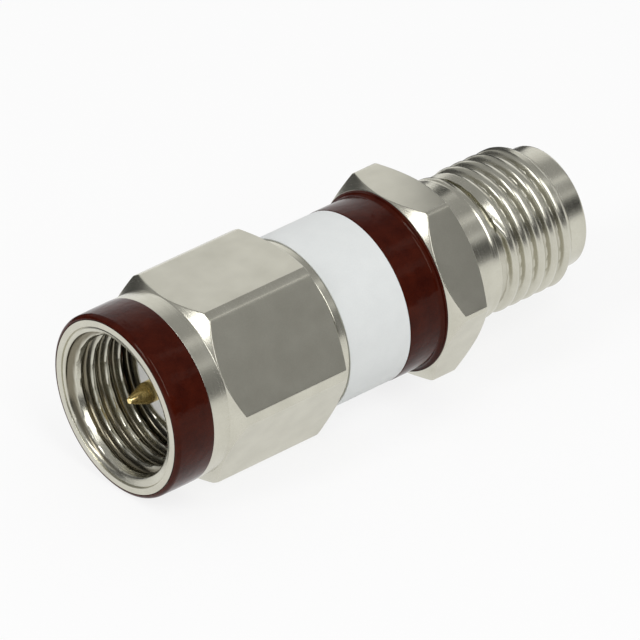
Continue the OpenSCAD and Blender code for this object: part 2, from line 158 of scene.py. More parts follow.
# outline corners, each a station, a radius and a rounding, become short curves: a corner is replaced by a
# quadratic curve between two points set back from it, with one more support line on each side, so that
# long faces stay flat in shading. Stations and radii may change from column to column
def softOutline(corners, closed=True, columns=1):
    columns = max([columns] + [np.size(value) for corner in corners for value in corner[:2]])
    place = np.stack([
        np.stack([np.broadcast_to(value, columns) for value in corner[:2]], -1) for corner in corners])
    rows = []
    count = len(corners)
    for i, corner in enumerate(corners):
        atEnd = not closed and i in (0, count - 1)
        if corner[2] == 0.0 or atEnd:
            rows.append(place[i][None])
            continue
        before = place[i - 1] - place[i]
        after = place[(i + 1) % count] - place[i]
        lengthBefore = np.linalg.norm(before, axis=-1, keepdims=True) + rounding["least"]
        lengthAfter = np.linalg.norm(after, axis=-1, keepdims=True) + rounding["least"]
        shorter = np.minimum(lengthBefore, lengthAfter)
        back = np.minimum(corner[2], rounding["farthest"] * shorter)
        more = np.minimum(back * rounding["support"], rounding["farthestSupport"] * shorter)
        start = place[i] + before / lengthBefore * back
        end = place[i] + after / lengthAfter * back
        t = np.linspace(0, 1, rounding["steps"] + 1)[:, None, None]
        curve = (1 - t) ** 2 * start + 2 * t * (1 - t) * place[i] + t ** 2 * end
        rows += [
            (place[i] + before / lengthBefore * more)[None], curve,
            (place[i] + after / lengthAfter * more)[None]]
    outline = np.concatenate(rows)
    return outline[..., 0], outline[..., 1]


# one mesh from a grid of points: rows follow the outline and columns go round the axis. A closed way
# joins its last line to its first, poles close an outline that ends on the axis, and lids close the
# ends of a strip that doesn't go all the way round. The faces are turned so that the volume is positive
def gridMesh(name, points, closedRows=True, closedColumns=True, poles=None):
    rows, columns = points.shape[:2]
    index = np.arange(rows * columns).reshape(rows, columns)
    below = np.roll(index, -1, 0) if closedRows else index[1:]
    above = index if closedRows else index[:-1]
    quads = np.stack([above, below, np.roll(below, -1, 1), np.roll(above, -1, 1)], -1)
    if not closedColumns:
        quads = quads[:, :-1]
    quads = quads.reshape(-1, 4)
    vertices = points.reshape(-1, 3)
    faces = [quads]
    if poles is not None:
        vertices = np.concatenate([vertices, np.asarray(poles, float)])
        first, last = rows * columns, rows * columns + 1
        head, foot = index[0], index[-1]
        faces.append(np.stack([np.full(columns, first), head, np.roll(head, -1)], -1))
        faces.append(np.stack([np.full(columns, last), np.roll(foot, -1), foot], -1))
    if not closedColumns:
        faces.append(index[:, 0][None])
        faces.append(index[::-1, -1][None])
    volume = 0.0
    for group in faces:
        a = vertices[group[:, 0]]
        for k in range(1, group.shape[1] - 1):
            cross = np.cross(vertices[group[:, k]], vertices[group[:, k + 1]])
            volume += np.einsum("ij,ij->", a, cross)
    if volume < 0:
        faces = [group[:, ::-1] for group in faces]
    loops = np.concatenate([group.ravel() for group in faces])
    sizes = np.concatenate([np.full(len(group), group.shape[1]) for group in faces])
    starts = np.concatenate([[0], np.cumsum(sizes)[:-1]])
    mesh = bpy.data.meshes.new(name)
    mesh.vertices.add(len(vertices))
    mesh.vertices.foreach_set("co", vertices.astype(np.float32).ravel())
    mesh.loops.add(len(loops))
    mesh.loops.foreach_set("vertex_index", loops.astype(np.int32))
    mesh.polygons.add(len(sizes))
    mesh.polygons.foreach_set("loop_start", starts.astype(np.int32))
    mesh.update(calc_edges=True)
    mesh.polygons.foreach_set("use_smooth", np.ones(len(sizes), bool))
    mesh.set_sharp_from_angle(angle=sharpTurn)
    return mesh


# points of a turned surface: station along the axis, radius times sine sideways, radius times cosine up
def turnedPoints(s, r, angle):
    s, r, angle = np.broadcast_arrays(s, r, angle)
    return np.stack([mouthX + s * mm, r * np.sin(angle) * mm, axisZ + r * np.cos(angle) * mm], -1)


# a float value for each vertex of a mesh, for its material to read
def addAttribute(mesh, name, values):
    data = np.zeros(len(mesh.vertices), np.float32)
    data[:values.size] = values.ravel()
    mesh.attributes.new(name, "FLOAT", "POINT").data.foreach_set("value", data)


# marks of the six sided outside for its steel: flatMask is 1 on a flat and falls to 0 at the turned corner,
# and across is the way from the flat's middle line, the radius times the sine of the angle from it
def addFlatMarks(mesh, r, side, angle, cornerRadius):
    onHexagon = np.abs(r - side[None, :]) < bar["flatTolerance"]
    addAttribute(mesh, "flatMask", np.clip((cornerRadius - r) / bar["cornerBlend"], 0, 1) * onHexagon)
    addAttribute(mesh, "across", r * np.sin(flatOffset(angle))[None, :] * onHexagon)


# a new object of the scene that holds a mesh, a lamp or a camera
def linkObject(name, data):
    holder = bpy.data.objects.new(name, data)
    bpy.context.scene.collection.objects.link(holder)
    return holder


# link a finished mesh as a piece that rides on a body, hides the CAD nodes it stands for and takes the given
# finish
def addPiece(mesh, material, body, slot, *nodes):
    piece = linkObject(mesh.name, mesh)
    mesh.materials.append(material)
    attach(piece, body)
    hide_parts(*nodes)
    print("piece", mesh.name, len(mesh.vertices), "vertices")


# one node with its settings: an input that is given as a socket is linked, and any other is set
def addNode(tree, kind, inputs=None, **settings):
    node = tree.nodes.new(kind)
    for key, value in settings.items():
        setattr(node, key, value)
    for key, value in (inputs or {}).items():
        if isinstance(value, bpy.types.NodeSocket):
            tree.links.new(value, node.inputs[key])
        else:
            node.inputs[key].default_value = value
    return node


# a node material whose shader has some of its inputs set to constants
def newMaterial(name, **constants):
    material = bpy.data.materials.new(name)
    material.use_nodes = True
    tree = material.node_tree
    shader = tree.nodes["Principled BSDF"]
    for key, value in constants.items():
        shader.inputs[key].default_value = value
    return material, tree, shader


# one sum, product or other operation on up to three values
def mathNode(tree, operation, a, b=0.0, c=0.0):
    return addNode(tree, "ShaderNodeMath", {0: a, 1: b, 2: c}, operation=operation).outputs[0]


# a value moved from one range to another, and held inside it
def rangeNode(tree, value, fromLow, fromHigh, toLow=0.0, toHigh=1.0):
    node = addNode(tree, "ShaderNodeMapRange", {
        "Value": value, "From Min": fromLow, "From Max": fromHigh, "To Min": toLow, "To Max": toHigh})
    return node.outputs[0]


# a value between two others: the first at factor 0 and the second at factor 1
def mixValue(tree, factor, a, b):
    return addNode(tree, "ShaderNodeMix", {0: factor, 2: a, 3: b}, data_type="FLOAT").outputs[0]


# a colour between two others, in the same way
def mixColour(tree, factor, a, b):
    return addNode(tree, "ShaderNodeMix", {0: factor, 6: a, 7: b}, data_type="RGBA").outputs[2]


# Object coordinates in millimetres from the axis at the nut's mouth, with the station along the axis and the
# distance from it, the root of the sum of both squares
def axisCoordinates(tree):
    place = addNode(tree, "ShaderNodeTexCoord").outputs["Object"]
    centred = addNode(tree, "ShaderNodeVectorMath", {0: place, 1: (mouthX, 0, axisZ)}, operation="SUBTRACT")
    scaled = addNode(
        tree, "ShaderNodeVectorMath", {0: centred.outputs[0], "Scale": 1 / mm}, operation="SCALE").outputs[0]
    parts = addNode(tree, "ShaderNodeSeparateXYZ", {0: scaled})
    square = mathNode(tree, "ADD", mathNode(tree, "POWER", parts.outputs[1], 2.0),
                      mathNode(tree, "POWER", parts.outputs[2], 2.0))
    return scaled, parts.outputs[0], mathNode(tree, "SQRT", square)


# a soft noise from 0 to 1
def noiseNode(tree, vector, scale, detail, roughness):
    node = addNode(tree, "ShaderNodeTexNoise", {
        "Vector": vector, "Scale": scale, "Detail": detail, "Roughness": roughness})
    return node.outputs[0]


# two values weighed against each other: the first times its share plus the second times the rest
def weighNode(tree, a, b, share):
    first = mathNode(tree, "MULTIPLY", a, share)
    return mathNode(tree, "ADD", first, mathNode(tree, "MULTIPLY", b, 1 - share))


# a value that a mesh holds for each vertex
def attributeNode(tree, name):
    return addNode(tree, "ShaderNodeAttribute", attribute_name=name).outputs["Fac"]


# a faint relief from a height, put on a shader
def addRelief(tree, shader, height, strength, depth):
    bump = addNode(tree, "ShaderNodeBump", {"Height": height, "Strength": strength, "Distance": depth})
    tree.links.new(bump.outputs[0], shader.inputs["Normal"])


# In the finishes below each noise is a scale for one millimetre, a detail and a roughness, each span is the
# stretch of a noise that is used, and each relief is a strength and a depth in metres.


# passivated steel: lathe rings follow the station and the radius, drawn lines run along the duller flats,
# a fine grain lies over both and moves the roughness with them, broad faint clouds move the tint, and
# grooves and hollows get a painted shade
def steelMaterial(name):
    # the recess colour is a painted shade for grooves and hollows, not a colour of the steel
    steel = dict(
        light=(0.66, 0.645, 0.555, 1), dark=(0.53, 0.515, 0.435, 1), recess=(0.21, 0.19, 0.14, 1),
        roughness=(0.18, 0.3), flatRoughness=0.1, lineStretch=0.06,
        rings=(14.0, 3.0, 0.6), lines=(16.0, 3.0, 0.6), grain=(26.0, 2.0, 0.7), clouds=(0.9, 2.0, 0.5),
        tintSpan=(0.3, 0.7), wearSpan=(0.25, 0.75), relief=(0.12, 0.00003),
        grainInTint=0.55, marksInWear=0.5, marksInRelief=0.6)
    material, tree, shader = newMaterial(name, Metallic=1.0)
    place, station, radius = axisCoordinates(tree)
    flatMask, across, recess = (attributeNode(tree, key) for key in ("flatMask", "across", "recess"))
    ringVector = addNode(tree, "ShaderNodeCombineXYZ", {0: station, 1: radius, 2: 0.0}).outputs[0]
    rings = noiseNode(tree, ringVector, *steel["rings"])
    stretched = mathNode(tree, "MULTIPLY", station, steel["lineStretch"])
    lineVector = addNode(tree, "ShaderNodeCombineXYZ", {0: stretched, 1: across, 2: flatMask}).outputs[0]
    lines = noiseNode(tree, lineVector, *steel["lines"])
    marks = mixValue(tree, flatMask, rings, lines)
    grain = noiseNode(tree, place, *steel["grain"])
    clouds = noiseNode(tree, place, *steel["clouds"])
    shade = rangeNode(tree, weighNode(tree, grain, clouds, steel["grainInTint"]), *steel["tintSpan"])
    tint = mixColour(tree, shade, steel["dark"], steel["light"])
    # painted shade: the tint goes towards the recess colour by the mesh's recess value, darkest deep in
    # grooves and hollows
    tree.links.new(mixColour(tree, recess, tint, steel["recess"]), shader.inputs["Base Color"])
    wear = weighNode(tree, marks, grain, steel["marksInWear"])
    rough = rangeNode(tree, wear, *steel["wearSpan"], *steel["roughness"])
    dull = mathNode(tree, "MULTIPLY_ADD", flatMask, steel["flatRoughness"], rough)
    tree.links.new(dull, shader.inputs["Roughness"])
    addRelief(tree, shader, weighNode(tree, marks, grain, steel["marksInRelief"]), *steel["relief"])
    return material


# glossy red-brown lacquer: thin and thick places shift the colour, and a slow ripple bends the gloss
def lacquerMaterial(name):
    coat = dict(
        deep=(0.024, 0.0016, 0.0005, 1), thin=(0.056, 0.007, 0.0024, 1), roughness=(0.1, 0.17),
        clouds=(1.6, 3.0, 0.55), specks=(22.0, 2.0, 0.6), ripple=(2.4, 2.0, 0.5), span=(0.3, 0.7),
        relief=(0.25, 0.00006), cloudsInTint=0.6, specular=0.13, specularTint=(1.0, 0.88, 0.75, 1))
    material, tree, shader = newMaterial(
        name, **{"Specular IOR Level": coat["specular"], "Specular Tint": coat["specularTint"]})
    place = axisCoordinates(tree)[0]
    clouds = noiseNode(tree, place, *coat["clouds"])
    specks = noiseNode(tree, place, *coat["specks"])
    shade = rangeNode(tree, weighNode(tree, clouds, specks, coat["cloudsInTint"]), *coat["span"])
    tree.links.new(mixColour(tree, shade, coat["deep"], coat["thin"]), shader.inputs["Base Color"])
    tree.links.new(rangeNode(tree, specks, *coat["span"], *coat["roughness"]), shader.inputs["Roughness"])
    addRelief(tree, shader, noiseNode(tree, place, *coat["ripple"]), *coat["relief"])
    return material


# white film: a faint fibre grain and broad clouds move it between white and a slightly greyer tone
def labelMaterial(name):
    film = dict(
        white=(0.775, 0.795, 0.785, 1), grey=(0.705, 0.725, 0.72, 1), roughness=(0.38, 0.52), specular=0.4,
        grain=(20.0, 3.0, 0.65), clouds=(1.3, 2.0, 0.5), tintSpan=(0.25, 0.75), span=(0.3, 0.7),
        relief=(0.1, 0.00002), grainInTint=0.6)
    material, tree, shader = newMaterial(name, **{"Specular IOR Level": film["specular"]})
    place = axisCoordinates(tree)[0]
    grain = noiseNode(tree, place, *film["grain"])
    clouds = noiseNode(tree, place, *film["clouds"])
    shade = rangeNode(tree, weighNode(tree, grain, clouds, film["grainInTint"]), *film["tintSpan"])
    tree.links.new(mixColour(tree, shade, film["grey"], film["white"]), shader.inputs["Base Color"])
    tree.links.new(rangeNode(tree, grain, *film["span"], *film["roughness"]), shader.inputs["Roughness"])
    addRelief(tree, shader, grain, *film["relief"])
    return material


# a metal with fine lathe rings and a slowly changing tint, for the gold plated and bronze pieces
def turnedMetal(name, light, dark, low, high):
    metal = dict(rings=(22.0, 2.0, 0.6), clouds=(4.0, 2.0, 0.5), span=(0.3, 0.7), relief=(0.1, 0.00002))
    material, tree, shader = newMaterial(name, Metallic=1.0)
    place, station, radius = axisCoordinates(tree)
    ringVector = addNode(tree, "ShaderNodeCombineXYZ", {0: station, 1: radius, 2: 0.0}).outputs[0]
    rings = noiseNode(tree, ringVector, *metal["rings"])
    shade = rangeNode(tree, noiseNode(tree, place, *metal["clouds"]), *metal["span"])
    tree.links.new(mixColour(tree, shade, dark, light), shader.inputs["Base Color"])
    tree.links.new(rangeNode(tree, rings, *metal["span"], low, high), shader.inputs["Roughness"])
    addRelief(tree, shader, rings, *metal["relief"])
    return material


# a soft white or coloured moulding with faint clouds and a dull skin
def softMoulding(name, light, dark, low, high):
    skin = dict(clouds=(3.0, 3.0, 0.6), grain=(30.0, 2.0, 0.6), span=(0.3, 0.7), relief=(0.08, 0.00002))
    material, tree, shader = newMaterial(name)
    place = axisCoordinates(tree)[0]
    shade = rangeNode(tree, noiseNode(tree, place, *skin["clouds"]), *skin["span"])
    grain = noiseNode(tree, place, *skin["grain"])
    tree.links.new(mixColour(tree, shade, dark, light), shader.inputs["Base Color"])
    tree.links.new(rangeNode(tree, grain, *skin["span"], low, high), shader.inputs["Roughness"])
    addRelief(tree, shader, grain, *skin["relief"])
    return material


steelFinish = steelMaterial("passivated_steel")
lacquerFinish = lacquerMaterial("red_brown_lacquer")
labelFinish = labelMaterial("white_film")
goldFinish = turnedMetal("gold_plate", (1.0, 0.82, 0.4, 1), (0.94, 0.72, 0.29, 1), 0.12, 0.24)
bronzeFinish = turnedMetal("turned_bronze", (0.66, 0.45, 0.24, 1), (0.5, 0.32, 0.16, 1), 0.25, 0.4)
dielectricFinish = softMoulding("white_dielectric", (0.86, 0.86, 0.84, 1), (0.78, 0.78, 0.76, 1), 0.4, 0.55)
ceramicFinish = softMoulding("fired_ceramic", (0.82, 0.8, 0.74, 1), (0.72, 0.7, 0.64, 1), 0.5, 0.65)
sealFinish = softMoulding("red_seal", (0.42, 0.09, 0.055, 1), (0.3, 0.06, 0.04, 1), 0.5, 0.65)
print("materials made")

# stations of the nut, the body and what they carry
nutRear = span("coupling_nut")[1]
barrelFront, jackEnd = span("body_shell")
labelFront, labelRear = span("label_wrap")
bandRear = span("nut_colour_band")[1]
coatFront, coatRear = span("body_colour_band")
contactPlane = span("plug_shell")[0]
sealRear = span("gasket")[1]
noseRadius = bar["flat"] - bar["noseInset"]

# coupling nut: rim, nose, collar, chamfered hexagon, rear bore and the right-handed thread inside
nut = dict(
    cornerRadius=outerRadius("coupling_nut"), hexStart=2.72, frontChamfer=0.42, rearChamfer=0.26,
    edgeSoft=0.035, edgeRadius=0.22, rimWidth=0.28,
    coat=0.07, coatStep=0.05, coatEnd=0.01,                 # seat of the lacquer
    mouthSlope=2.2, mouthDepth=0.36, mouthReach=0.7,        # mouth's cone, and the deeper groove behind it
    leadIn=0.9, leadRadius=3.17, leadSlope=0.43,            # taper that cuts the first crest
    threadStart=0.643, threadTurn=math.radians(197), threadEnd=3.5, threadSteps=96,
    # painted shade in the thread's grooves: the next values set the depth below the land at which it is full,
    # least near the mouth
    paintedGrooveShade=0.3, grooveNear=0.25, grooveLeast=0.25,     # depth at which a groove is fully dark
    reliefRadius=3.3, boreRadius=3.06, boreChamfer=0.1,
    recessFront=6.55, recessRear=7.15, recessRadius=3.4, recessMargin=0.01)


# the nut's outline: from the mouth's rim outwards, along the outside to the rear, and back along the bore.
# On the hexagon each corner of the outline moves with the angle, where the chamfer cone meets the flat.
# The thread's groove is a ridge cut outwards from the crests and deeper towards the mouth. The land is the
# largest of the crest, the taper and the mouth's cone, and a groove gets a painted shade that darkens
# with its depth below it
def couplingNut():
    angle = hexAngles(nut["cornerRadius"])
    side = hexRadius(angle, nut["cornerRadius"])
    rise = (side - noseRadius) / (nut["cornerRadius"] - noseRadius)
    rimRadius = noseRadius - nut["edgeRadius"]
    mouthRadius = rimRadius - nut["rimWidth"]
    coreRadius = noseRadius - nut["coat"]
    bore, soft = nut["boreRadius"], nut["edgeSoft"]
    outside = [
        (0.0, mouthRadius, soft), (0.0, rimRadius, 0.0), (nut["coat"], rimRadius, 0.0),
        (nut["coat"] + nut["coatStep"], coreRadius - nut["coatStep"], 0.0),
        (nut["edgeRadius"], coreRadius, 0.0), (bandRear, coreRadius, 0.0),
        (bandRear + nut["coatEnd"], noseRadius, nut["coatEnd"]),
        (nut["hexStart"], noseRadius, soft),
        (nut["hexStart"] + rise * nut["frontChamfer"], side, soft),
        (nutRear - rise * nut["rearChamfer"], side, soft),
        (nutRear, noseRadius, soft), (nutRear, bore + nut["boreChamfer"], soft),
        (nutRear - nut["boreChamfer"], bore, soft), (nut["recessRear"], bore, soft),
        (nut["recessRear"], nut["recessRadius"], soft), (nut["recessFront"], nut["recessRadius"], soft),
        (nut["recessFront"], bore, soft), (sealRear, bore, soft),
        (sealRear, nut["reliefRadius"], soft), (nut["threadEnd"], nut["reliefRadius"], soft)]
    s, r = softOutline(outside)
    threadS = np.linspace(nut["threadEnd"], 0.0, nut["threadSteps"])[:, None]
    crest = thread["majorRadius"] - thread["depth"] + thread["room"]
    form = threadForm(threadS, angle[None, :], nut["threadStart"], nut["threadTurn"])
    deeper = 1 + nut["mouthDepth"] * np.clip(1 - threadS / nut["mouthReach"], 0, 1)
    taper = np.where(threadS < nut["leadIn"], nut["leadRadius"] - nut["leadSlope"] * threadS, 0.0)
    land = np.maximum(np.maximum(crest, taper), mouthRadius - nut["mouthSlope"] * threadS)
    threadR = np.maximum(crest + thread["depth"] * deeper * form, land)
    s = np.concatenate([s, np.broadcast_to(threadS, threadR.shape)[:-1]])
    r = np.concatenate([r, threadR[:-1]])
    mesh = gridMesh("nut_threaded", turnedPoints(s, r, angle[None, :]))
    addFlatMarks(mesh, r, side, angle, nut["cornerRadius"])
    # painted shade: the bore and the recess behind the thread darken with their depth beyond the crests, and
    # each groove with its depth below the land
    behind = (s >= nut["threadEnd"]) & (r < nut["recessRadius"] + nut["recessMargin"])
    recess = np.clip((r - crest) / thread["depth"], 0, 1) * behind
    paintedShadeDepth = nut["paintedGrooveShade"] * np.clip(threadS - nut["grooveNear"], nut["grooveLeast"], 1)
    recess[1 - len(threadS):] = np.clip((threadR - land) / paintedShadeDepth, 0, 1)[:-1]
    addAttribute(mesh, "recess", recess)
    addPiece(mesh, steelFinish, "nut", "steel", "coupling_nut")


couplingNut()

# body: barrel, chamfered flange, neck, thread, plain nose, socket and the bore behind it
body = dict(
    barrelRadius=3.7, barrelChamfer=0.08, edgeSoft=0.035, cornerRadius=outerRadius("body_shell"),
    flangePlay=0.01, flangeThickness=1.95, flangeChamfer=0.45, rearChamfer=0.35,
    neckLength=1.75, neckRadius=3.09, neckFillet=0.06,
    neckBead=0.055, beadStart=0.3, beadTop=0.16, beadSoft=0.05, neckEdge=0.07,
    threadLength=4.0, threadGap=0.12, threadDepth=0.27, threadSteps=150,
    threadTurn=math.radians(90), threadTurns=5.2, paintedGrooveShade=0.12, rootMargin=0.01,
    firstWidth=0.5, firstEnd=0.42, firstFade=0.1,       # extra width of the first turn, and its end in turns
    lastWidth=0.2, lastStart=4.0, lastFade=0.3,         # extra width of the last turn, and its start in turns
    endChamfer=0.35, noseRadius=2.68, noseFoot=0.03, noseEdge=0.16,
    socketRadius=2.3, socketDepth=1.9, socketChamfer=0.1, boreRadius=2.05, boreSeat=2.3, seatLength=1.8,
    cavityRadius=2.75, cavityEnd=1.05, cavityStart=0.1)


# extra width in front of the thread's first turn, full up to a third of a turn and gone soon after it,
# and behind its last one, which grows from the fourth turn on
def turnWidths(wound):
    first = body["firstWidth"] * np.clip((body["firstEnd"] - wound) / body["firstFade"], 0, 1)
    last = body["lastWidth"] * np.clip((wound - body["lastStart"]) / body["lastFade"], 0, 1)
    return first, last


# the body's outline: along the outside from the barrel's front to the nose, into the socket and back. The
# thread is the root's radius plus its depth times the ridge's height, which the end's chamfer cuts off
def bodyShell():
    angle = hexAngles(body["cornerRadius"])
    side = hexRadius(angle, body["cornerRadius"])
    rise = (side - noseRadius) / (body["cornerRadius"] - noseRadius)
    barrel, cavity, soft = body["barrelRadius"], body["cavityRadius"], body["edgeSoft"]
    neck, bead = body["neckRadius"], body["neckRadius"] + body["neckBead"]
    flangeFront = coatRear + body["flangePlay"]
    flangeRear = flangeFront + body["flangeThickness"]
    neckEnd = flangeRear + body["neckLength"]
    threadStop = neckEnd + body["threadLength"]
    rootRadius = thread["majorRadius"] - body["threadDepth"]
    front = [
        (barrelFront, cavity, soft), (barrelFront, barrel - body["barrelChamfer"], soft),
        (barrelFront + body["barrelChamfer"], barrel, soft),
        (flangeFront, barrel, 0.0), (flangeFront, noseRadius, soft),
        (flangeFront + rise * body["flangeChamfer"], side, soft),
        (flangeRear - rise * body["rearChamfer"], side, soft), (flangeRear, noseRadius, soft),
        (flangeRear, neck, body["neckFillet"]), (neckEnd - body["beadStart"], neck, body["beadSoft"]),
        (neckEnd - body["beadTop"], bead, body["beadSoft"]), (neckEnd, bead, body["neckEdge"]),
        (neckEnd, rootRadius, 0.0)]
    s, r = softOutline(front, closed=False)
    threadS = np.linspace(neckEnd, threadStop, body["threadSteps"])[1:, None]
    middle = neckEnd + body["threadGap"] + (thread["pitch"] - thread["root"]) / 2
    form = threadForm(
        threadS, angle[None, :], middle, body["threadTurn"], body["threadTurns"], turnWidths)
    chamfer = np.clip((threadStop - threadS) / body["endChamfer"], 0, 1)
    threadR = rootRadius + body["threadDepth"] * np.minimum(form, chamfer)
    socket, socketFace = body["socketRadius"], jackEnd - body["socketDepth"]
    cavityEnd = flangeFront + body["cavityEnd"]
    seatEnd = cavityEnd + body["seatLength"]
    back = [
        (threadStop, body["noseRadius"], body["noseFoot"]), (jackEnd, body["noseRadius"], body["noseEdge"]),
        (jackEnd, socket + body["socketChamfer"], soft), (jackEnd - body["socketChamfer"], socket, soft),
        (socketFace, socket, soft), (socketFace, body["boreRadius"], soft),
        (seatEnd, body["boreRadius"], soft), (seatEnd, body["boreSeat"], soft),
        (cavityEnd, body["boreSeat"], soft), (cavityEnd, cavity, soft),
        (barrelFront + body["cavityStart"], cavity, 0.0)]
    sBack, rBack = softOutline(back, closed=False, columns=angle.size)
    s = np.concatenate([s, np.broadcast_to(threadS, threadR.shape), sBack])
    r = np.concatenate([r, threadR, rBack])
    mesh = gridMesh("body_threaded", turnedPoints(s, r, angle[None, :]))
    addFlatMarks(mesh, r, side, angle, body["cornerRadius"])
    # painted shade: the thread's grooves darken with their depth below the crests, up to a small share of the
    # recess colour
    onThread = (s > neckEnd) & (s < threadStop - body["endChamfer"]) & (r > rootRadius - body["rootMargin"])
    depth = np.clip((thread["majorRadius"] - r) / body["threadDepth"], 0, 1)
    addAttribute(mesh, "recess", body["paintedGrooveShade"] * depth * onThread)
    addPiece(mesh, steelFinish, "body", "steel", "body_shell")


bodyShell()

# both lacquer bands: a slight crown, and an edge line that wanders a little
lacquer = dict(crown=0.012, overlap=0.01, wander=0.012, waves=(3, 5, 11), waveFall=1.5, steps=192, arcSteps=9)


# small wander of a painted edge: three sine waves round the axis with falling height
def edgeWander(angle, start):
    return lacquer["wander"] * sum(
        np.sin(wave * angle + start * (k + 1)) / (k + lacquer["waveFall"])
        for k, wave in enumerate(lacquer["waves"]))


# the nut's band, with the start of each edge's wander
nutCoat = dict(
    rimReach=0.06, rimLip=0.02, rimSoft=0.012, frontWander=2.1,
    crownPlace=0.55, shoulder=0.09, shoulderCrown=0.8, seat=0.5,
    rearGap=0.008, rearRise=0.002, rearSoft=0.02, undercut=0.02, rearWander=0.7)


# the nut's band: a quarter circle over the front edge, along the nose and down again at the collar
def nutBand():
    angle = np.linspace(0, 2 * math.pi, lacquer["steps"], endpoint=False)
    edge = nut["edgeRadius"]
    rimRadius = noseRadius - edge + lacquer["overlap"]
    seat = noseRadius - nut["coat"] * nutCoat["seat"]
    rear = bandRear + nutCoat["rearGap"] + edgeWander(angle, nutCoat["rearWander"])
    lip = rimRadius + nutCoat["rimLip"] + edgeWander(angle, nutCoat["frontWander"])
    arc = np.linspace(-math.pi / 2, 0, lacquer["arcSteps"])[1:]
    corners = [(nutCoat["rimReach"], rimRadius, 0.0), (0.0, lip, nutCoat["rimSoft"])]
    corners += [
        (edge + edge * math.sin(a), rimRadius + (edge - lacquer["overlap"]) * math.cos(a), 0.0) for a in arc]
    corners += [
        (bandRear * nutCoat["crownPlace"], noseRadius + lacquer["crown"], 0.0),
        (rear - nutCoat["shoulder"], noseRadius + lacquer["crown"] * nutCoat["shoulderCrown"], 0.0),
        (rear, noseRadius + nutCoat["rearRise"], nutCoat["rearSoft"]),
        (rear - nutCoat["undercut"], seat, 0.0), (edge, seat, 0.0)]
    s, r = softOutline(corners)
    mesh = gridMesh("nut_lacquer_band", turnedPoints(s, r, angle[None, :]))
    addPiece(mesh, lacquerFinish, "nut", "lacquer", "nut_colour_band")


nutBand()

# the body's band, with the start and the share of each edge's wander
bodyCoat = dict(
    thickness=0.07, fillet=0.18, level=0.8,
    frontGap=0.004, frontEdge=0.005, frontSoft=0.02, frontRound=0.12, frontWander=1.3, frontShare=0.5,
    lipDepth=0.075, lipRound=0.05, lipFront=0.045, lipSoft=0.03, lipGap=0.004, lipWander=4.0, lipShare=0.4,
    faceSeat=0.004)


# the body's band: a thick edge against the label, the barrel, a quarter circle up the flange and a round lip
def bodyBand():
    angle = np.linspace(0, 2 * math.pi, lacquer["steps"], endpoint=False)
    seat = body["barrelRadius"] - lacquer["overlap"]
    coatRadius = body["barrelRadius"] + bodyCoat["thickness"]
    crown = coatRadius + lacquer["crown"]
    fillet, wall = bodyCoat["fillet"], coatRear - bodyCoat["lipDepth"]
    foot = coatRear + bodyCoat["faceSeat"]
    start = coatFront + bodyCoat["frontGap"]
    start = start + bodyCoat["frontShare"] * edgeWander(angle, bodyCoat["frontWander"])
    lip = noseRadius - bodyCoat["lipGap"] + bodyCoat["lipShare"] * edgeWander(angle, bodyCoat["lipWander"])
    arc = np.linspace(math.pi, math.pi / 2, lacquer["arcSteps"])
    corners = [
        (start, seat, 0.0), (start, coatRadius - bodyCoat["frontEdge"], bodyCoat["frontSoft"]),
        (start + bodyCoat["frontRound"], crown, 0.0), (coatFront + bodyCoat["level"], crown, 0.0)]
    corners += [
        (wall - fillet + fillet * math.sin(a), coatRadius + fillet + fillet * math.cos(a), 0.0) for a in arc]
    corners += [
        (wall, lip - bodyCoat["lipRound"], 0.0), (coatRear - bodyCoat["lipFront"], lip, bodyCoat["lipSoft"]),
        (foot, lip, 0.0), (foot, seat, 0.0)]
    s, r = softOutline(corners)
    mesh = gridMesh("body_lacquer_band", turnedPoints(s, r, angle[None, :]))
    addPiece(mesh, lacquerFinish, "body", "lacquer", "body_colour_band")


bodyBand()

# label: a thin film with cut edges that wraps the barrel, its two ends just apart underneath
label = dict(
    thickness=0.06, seam=0.25, steps=180, innerSoft=0.01, outerSoft=0.02,
    lift=0.004, liftStart=2.9, liftReach=0.2)


# the film's outline carried round the barrel, with a small lift towards its two ends
def labelWrap():
    radius = body["barrelRadius"]
    half = label["seam"] / 2 / radius
    angle = np.linspace(-math.pi + half, math.pi - half, label["steps"])
    inner = radius + label["lift"] * np.clip((np.abs(angle) - label["liftStart"]) / label["liftReach"], 0, 1)
    outer = inner + label["thickness"]
    corners = [
        (labelFront, inner, label["innerSoft"]), (labelFront, outer, label["outerSoft"]),
        (labelRear, outer, label["outerSoft"]), (labelRear, inner, label["innerSoft"])]
    s, r = softOutline(corners)
    mesh = gridMesh("label_film", turnedPoints(s, r, angle[None, :]), closedColumns=False)
    addPiece(mesh, labelFinish, "body", "label", "label_wrap")


labelWrap()

# plug pin: blunt tip, taper, shaft, shoulder, trapped collar and a flat tail
pin = dict(
    poleRadius=0.02, tipRadius=0.12, tipSoft=0.08, radius=0.46, taper=0.85, taperSoft=0.12,
    recess=0.05, footSoft=0.01, conductorRadius=0.635, collarRadius=0.95, collarLength=0.4, collarEnd=8.3,
    edgeSoft=0.03, innerSoft=0.02, tailFlat=0.19, tailLength=0.51, tailStep=0.001, steps=64)


